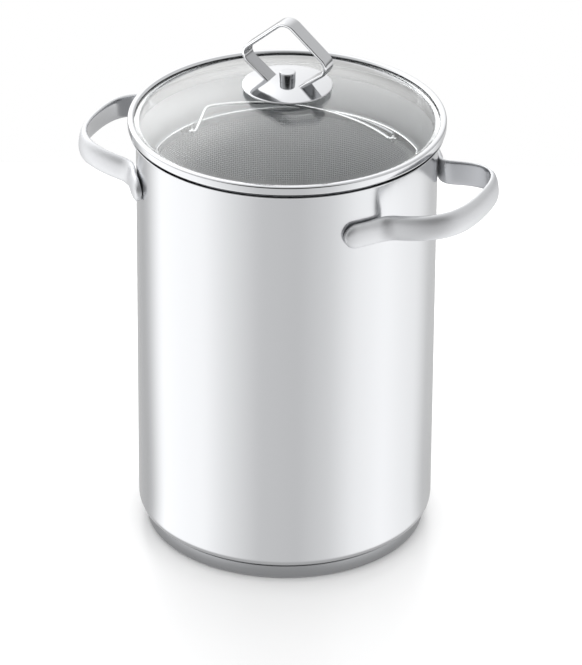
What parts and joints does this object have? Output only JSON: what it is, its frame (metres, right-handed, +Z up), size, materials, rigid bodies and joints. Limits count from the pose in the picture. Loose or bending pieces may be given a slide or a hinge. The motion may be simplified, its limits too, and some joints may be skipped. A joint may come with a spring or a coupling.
{
  "type": "asparagus pot",
  "caption": "Tall narrow steel asparagus pot with two strap side handles, an upright mesh basket with folding wire handles, and a domed glass lid with a strap loop.",
  "frame": {"origin": "on the floor, under the middle of the pot's base", "axes": "+Z up along the pot's axis, +X towards the right side handle, -Y towards the front"},
  "size_m": [0.2356, 0.1708, 0.2984],
  "materials": {
    "polished_steel": "polished",
    "satin_steel": "satin",
    "steel_mesh": "fine woven wire mesh",
    "aluminium": "plain",
    "clear_glass": "clear",
    "grey_silicone": "matte"
  },
  "bodies": {
    "pot": {"pot_shell": "polished_steel", "base_core": "aluminium", "base_cap": "satin_steel", "side_handle_right": "satin_steel", "side_handle_left": "satin_steel"},
    "basket": {"basket_wall": "steel_mesh", "basket_floor": "steel_mesh", "basket_rim": "polished_steel", "basket_foot_ring": "polished_steel", "basket_ear_far_high": "polished_steel", "basket_ear_far_low": "polished_steel", "basket_ear_near_high": "polished_steel", "basket_ear_near_low": "polished_steel"},
    "basket_handle_far": {"basket_handle_far": "polished_steel"},
    "basket_handle_near": {"basket_handle_near": "polished_steel"},
    "lid": {"lid_glass": "clear_glass", "lid_rim_band": "polished_steel", "lid_gasket_upper": "grey_silicone", "lid_gasket_lower": "grey_silicone", "lid_washer": "satin_steel", "lid_screw": "satin_steel", "lid_handle_plate": "polished_steel", "lid_handle_boss": "polished_steel", "lid_handle_loop": "satin_steel"}
  },
  "joints": [
    {"name": "basket_lift", "type": "slide", "parent": "pot", "child": "basket", "axis": [0, 0, 1], "range_m": [0, 0.235]},
    {"name": "lid_lift", "type": "slide", "parent": "basket", "child": "lid", "axis": [0, 0, 1], "range_m": [0, 0.1]},
    {"name": "basket_handle_far_fold", "type": "hinge", "parent": "basket", "child": "basket_handle_far", "pos_m": [-0.01533, 0.03995, 0.21], "axis": [0.9336, 0.3584, 0], "range_deg": [0, 180]},
    {"name": "basket_handle_near_fold", "type": "hinge", "parent": "basket", "child": "basket_handle_near", "pos_m": [0.01533, -0.03995, 0.21], "axis": [-0.9336, -0.3584, 0], "range_deg": [0, 180]}
  ]
}
